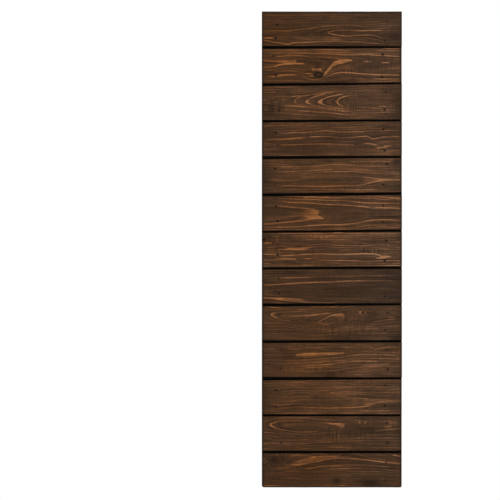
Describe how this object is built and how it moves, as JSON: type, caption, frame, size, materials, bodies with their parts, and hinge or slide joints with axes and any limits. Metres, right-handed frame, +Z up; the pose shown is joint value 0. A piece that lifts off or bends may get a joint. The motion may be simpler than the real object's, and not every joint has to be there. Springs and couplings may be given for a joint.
{
  "type": "exterior shutter",
  "caption": "Flat exterior shutter of lapped horizontal wooden boards with narrow dark grooves, nailed across two upright battens and stained dark brown.",
  "frame": {"origin": "middle of the back face of the left batten, as seen from the front, at half the panel's height", "axes": "+Z up along the battens, +Y into the wall out of the battens' backs, +X to the right along the boards; the show face looks along -Y"},
  "size_m": [0.3588, 0.0381, 1.2192],
  "materials": {
    "stained_boards": "softwood with a dark brown penetrating stain, matt, grain showing",
    "stained_battens": "softwood with a dark brown penetrating stain, matt"
  },
  "bodies": {
    "root": {"board_01": "stained_boards", "board_02": "stained_boards", "board_03": "stained_boards", "board_04": "stained_boards", "board_05": "stained_boards", "board_06": "stained_boards", "board_07": "stained_boards", "board_08": "stained_boards", "board_09": "stained_boards", "board_10": "stained_boards", "board_11": "stained_boards", "board_12": "stained_boards", "board_13": "stained_boards", "left_batten": "stained_battens", "right_batten": "stained_battens"}
  },
  "joints": []
}
